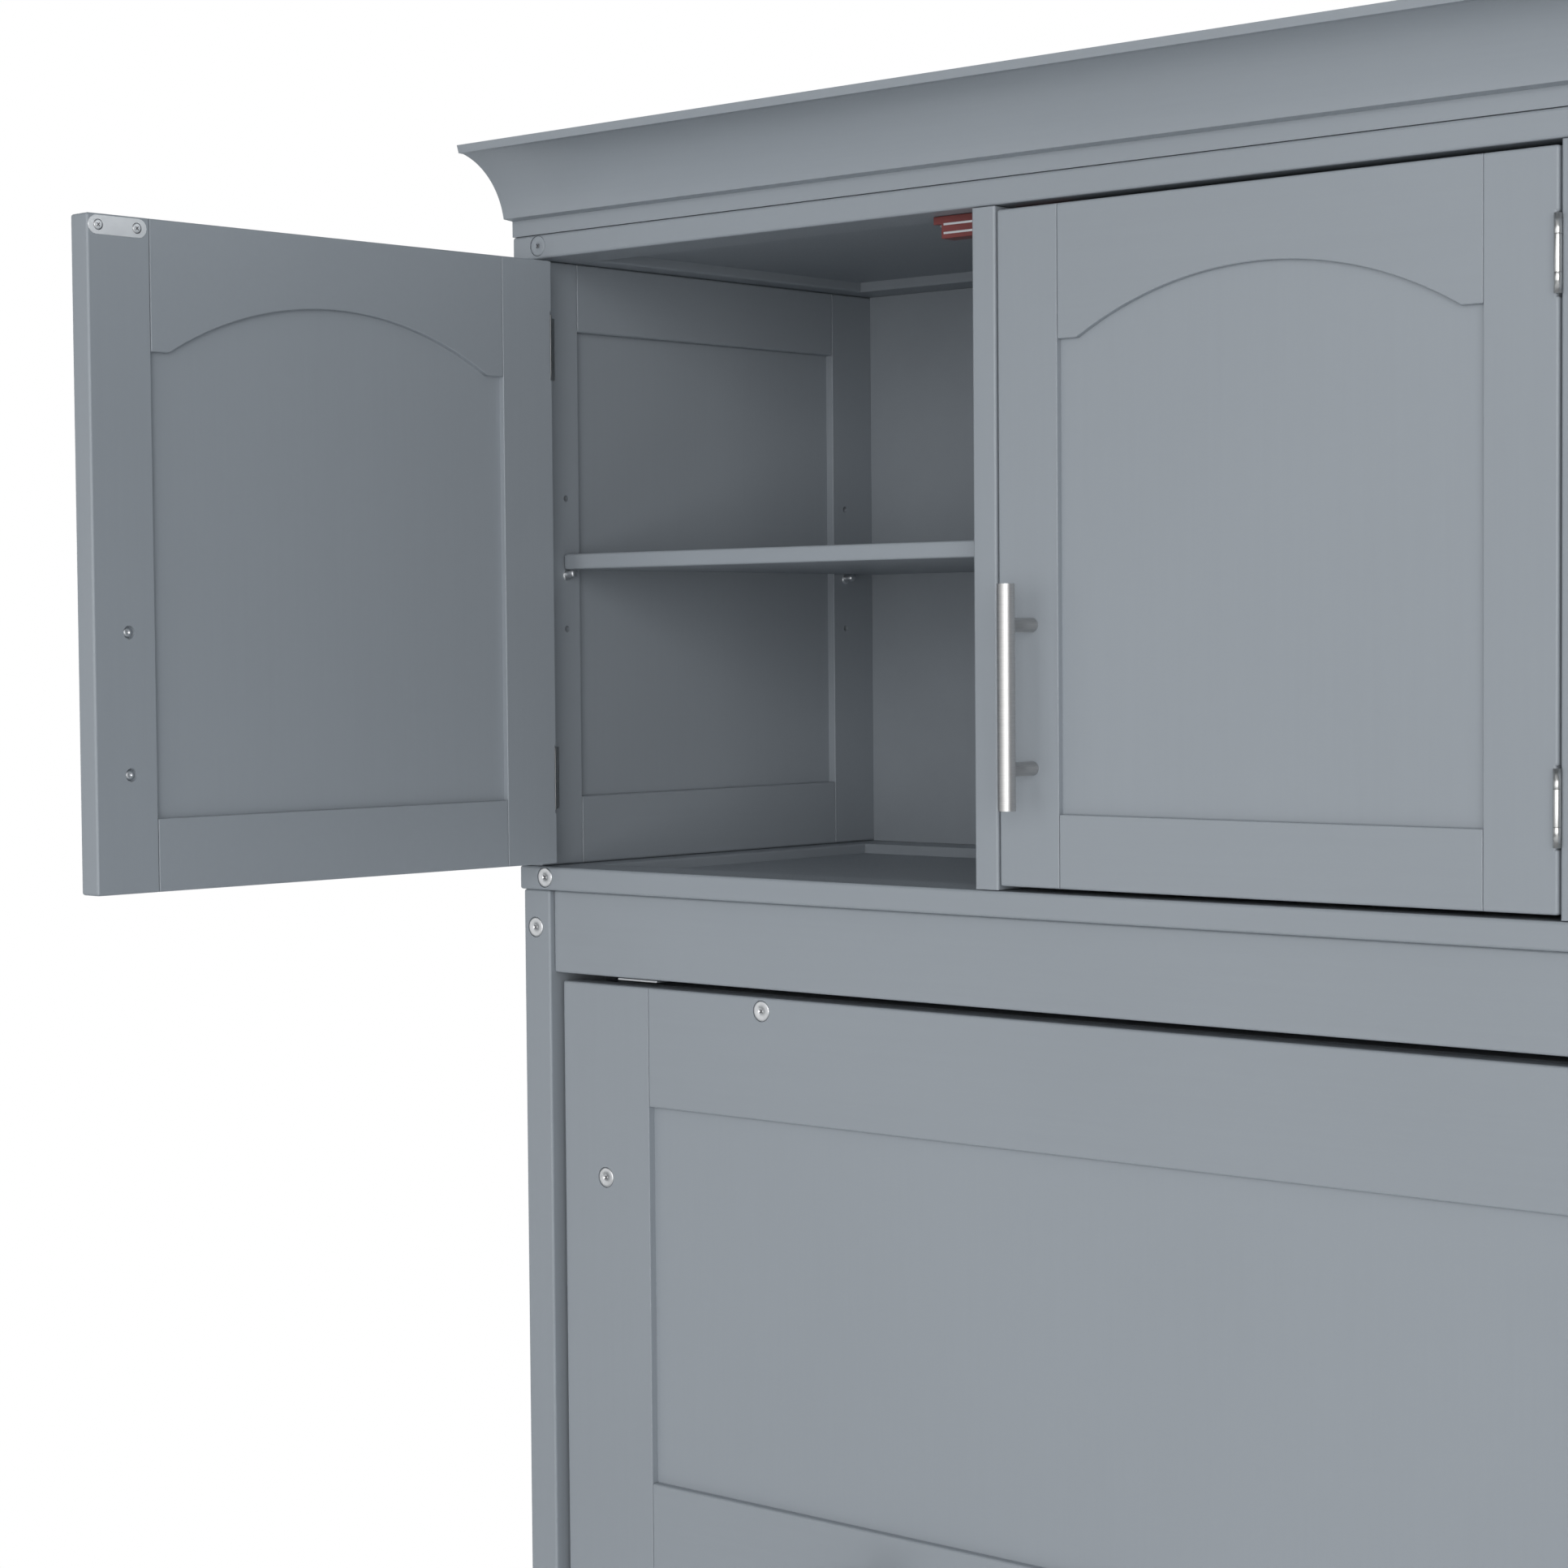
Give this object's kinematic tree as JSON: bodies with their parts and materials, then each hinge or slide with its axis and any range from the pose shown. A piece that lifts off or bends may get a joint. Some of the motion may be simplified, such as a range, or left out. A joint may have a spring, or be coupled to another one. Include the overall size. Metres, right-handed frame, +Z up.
{
  "type": "wall bed",
  "caption": "Wall bed that folds down sideways on gas struts with swing-out legs, below a row of cupboards with arched panel doors, bar handles, shelves and a crown moulding.",
  "frame": {"origin": "on the floor, at the middle of the cabinet's underside", "axes": "+X to the right seen from the front, +Y towards the wall, +Z up"},
  "size_m": [2.2503, 0.8259, 2.2823],
  "materials": {
    "paint": "satin blue-grey paint on wood",
    "back_board": "matt blue-grey painted board",
    "slat_wood": "bare sanded pine",
    "handle_steel": "brushed along the bar",
    "hinge_metal": "satin nickel plate",
    "bracket_steel": "zinc plated",
    "strut_black": "black powder coat",
    "rod_steel": "ground and polished",
    "catch_plastic": "moulded red-brown"
  },
  "bodies": {
    "cabinet": {"hutch_floor_board": "paint", "hutch_top_board": "paint", "hutch_side_left": "paint", "hutch_side_right": "paint", "hutch_divider_1": "paint", "hutch_divider_2": "paint", "hutch_divider_3": "paint", "hutch_divider_4": "paint", "shelf_1": "paint", "shelf_2": "paint", "shelf_3": "paint", "shelf_4": "paint", "shelf_5": "paint", "cornice_moulding": "paint", "lower_side_left": "paint", "lower_side_right": "paint", "plinth_rail": "paint", "base_board": "paint", "apron_rail": "paint", "hutch_back_panel": "back_board", "lower_back_panel": "back_board", "wall_rail": "back_board", "hinge_1_lower": "hinge_metal", "hinge_1_upper": "hinge_metal", "hinge_2_lower": "hinge_metal", "hinge_2_upper": "hinge_metal", "hinge_4_lower": "hinge_metal", "hinge_4_upper": "hinge_metal", "hinge_5_lower": "hinge_metal", "hinge_5_upper": "hinge_metal", "pivot_plate_left": "bracket_steel", "pivot_plate_right": "bracket_steel", "bed_keeper_left": "bracket_steel", "bed_keeper_right": "bracket_steel", "magnetic_catch_1": "catch_plastic", "magnetic_catch_2": "catch_plastic", "magnetic_catch_4": "catch_plastic", "magnetic_catch_5": "catch_plastic"},
    "bed": {"bed_front_panel": "paint", "bed_upper_rail": "paint", "bed_lower_rail": "paint", "bed_end_rail_left": "paint", "bed_end_rail_right": "paint", "slat_deck": "slat_wood", "bed_bracket_left": "bracket_steel", "bed_bracket_right": "bracket_steel"},
    "leg_left": {"support_leg_left": "paint"},
    "leg_right": {"support_leg_right": "paint"},
    "strut_tube_left": {"strut_tube_left": "strut_black"},
    "strut_rod_left": {"strut_rod_left": "rod_steel"},
    "strut_tube_right": {"strut_tube_right": "strut_black"},
    "strut_rod_right": {"strut_rod_right": "rod_steel"},
    "door_1": {"door_1": "paint", "handle_1": "handle_steel"},
    "door_2": {"door_2": "paint", "handle_2": "handle_steel"},
    "door_4": {"door_4": "paint", "handle_4": "handle_steel"},
    "door_5": {"door_5": "paint", "handle_5": "handle_steel"}
  },
  "joints": [
    {"name": "bed_fold", "type": "hinge", "parent": "cabinet", "child": "bed", "pos_m": [0, -0.16, 0.3], "axis": [1, 0, 0], "range_deg": [0, 90], "stiffness_Nm_per_rad": 190, "springref_deg": -8.59},
    {"name": "leg_left_swing", "type": "hinge", "parent": "bed", "child": "leg_left", "pos_m": [-0.758, -0.2145, 1.224], "axis": [1, 0, 0], "range_deg": [-90, 0]},
    {"name": "strut_left_swing", "type": "hinge", "parent": "cabinet", "child": "strut_tube_left", "pos_m": [-1.064, -0.05, 0.8], "axis": [1, 0, 0], "range_deg": [0, 10.76]},
    {"name": "strut_left_slide", "type": "slide", "parent": "strut_tube_left", "child": "strut_rod_left", "axis": [0, -0.0995, -0.995], "range_m": [-0.19659, 0]},
    {"name": "leg_right_swing", "type": "hinge", "parent": "bed", "child": "leg_right", "pos_m": [0.758, -0.2145, 1.224], "axis": [1, 0, 0], "range_deg": [-90, 0]},
    {"name": "strut_right_swing", "type": "hinge", "parent": "cabinet", "child": "strut_tube_right", "pos_m": [1.064, -0.05, 0.8], "axis": [1, 0, 0], "range_deg": [0, 10.76]},
    {"name": "strut_right_slide", "type": "slide", "parent": "strut_tube_right", "child": "strut_rod_right", "axis": [0, -0.0995, -0.995], "range_m": [-0.19659, 0]},
    {"name": "door_1_swing", "type": "hinge", "parent": "cabinet", "child": "door_1", "pos_m": [-1.08925, -0.2051, 1.969], "axis": [0, 0, -1], "range_deg": [-92.16, 17.84]},
    {"name": "door_2_swing", "type": "hinge", "parent": "cabinet", "child": "door_2", "pos_m": [-0.23075, -0.2051, 1.969], "axis": [0, 0, 1], "range_deg": [0, 110]},
    {"name": "door_4_swing", "type": "hinge", "parent": "cabinet", "child": "door_4", "pos_m": [0.23075, -0.2051, 1.969], "axis": [0, 0, -1], "range_deg": [0, 110]},
    {"name": "door_5_swing", "type": "hinge", "parent": "cabinet", "child": "door_5", "pos_m": [1.08925, -0.2051, 1.969], "axis": [0, 0, 1], "range_deg": [0, 110]}
  ],
  "couplings": [
    {"joint": "leg_left_swing", "follows": "bed_fold", "ratio": -1},
    {"joint": "strut_left_swing", "follows": "bed_fold", "ratio": 0.11927},
    {"joint": "strut_left_slide", "follows": "bed_fold", "m_per_rad": -0.12509},
    {"joint": "leg_right_swing", "follows": "bed_fold", "ratio": -1},
    {"joint": "strut_right_swing", "follows": "bed_fold", "ratio": 0.11927},
    {"joint": "strut_right_slide", "follows": "bed_fold", "m_per_rad": -0.12509}
  ]
}
